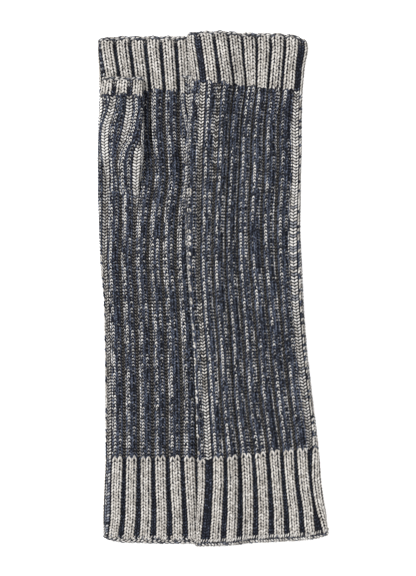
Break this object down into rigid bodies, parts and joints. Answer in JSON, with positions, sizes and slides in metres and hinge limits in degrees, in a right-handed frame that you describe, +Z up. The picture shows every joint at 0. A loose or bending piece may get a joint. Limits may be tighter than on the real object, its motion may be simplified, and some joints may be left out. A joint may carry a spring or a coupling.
{
  "type": "pair of knitted arm warmers",
  "caption": "Two long fingerless ribbed knit tubes with cuffs and short thumb tubes, laid flat with one lying partly over the other.",
  "frame": {"origin": "on the table under the middle of the pair", "axes": "+Y from the arm ends to the hand ends, +Z up from the table, +X from the left warmer to the right one"},
  "size_m": [0.156, 0.3442, 0.0159],
  "materials": {
    "ecru_rib": "ribbed knit, ecru face with navy gutters",
    "navy_marl": "ribbed knit, marled navy with ecru flecks",
    "edge_marl": "bound-off chain of navy and ecru yarn"
  },
  "bodies": {
    "root": {"left_hand_edge": "edge_marl", "left_hand_cuff": "ecru_rib", "left_body": "navy_marl", "left_arm_cuff": "ecru_rib", "left_arm_edge": "edge_marl", "left_thumb": "navy_marl", "left_thumb_cuff": "ecru_rib", "left_thumb_edge": "edge_marl", "right_hand_edge": "edge_marl", "right_hand_cuff": "ecru_rib", "right_body": "navy_marl", "right_arm_cuff": "ecru_rib", "right_arm_edge": "edge_marl", "right_thumb": "navy_marl", "right_thumb_cuff": "ecru_rib", "right_thumb_edge": "edge_marl"}
  },
  "joints": []
}
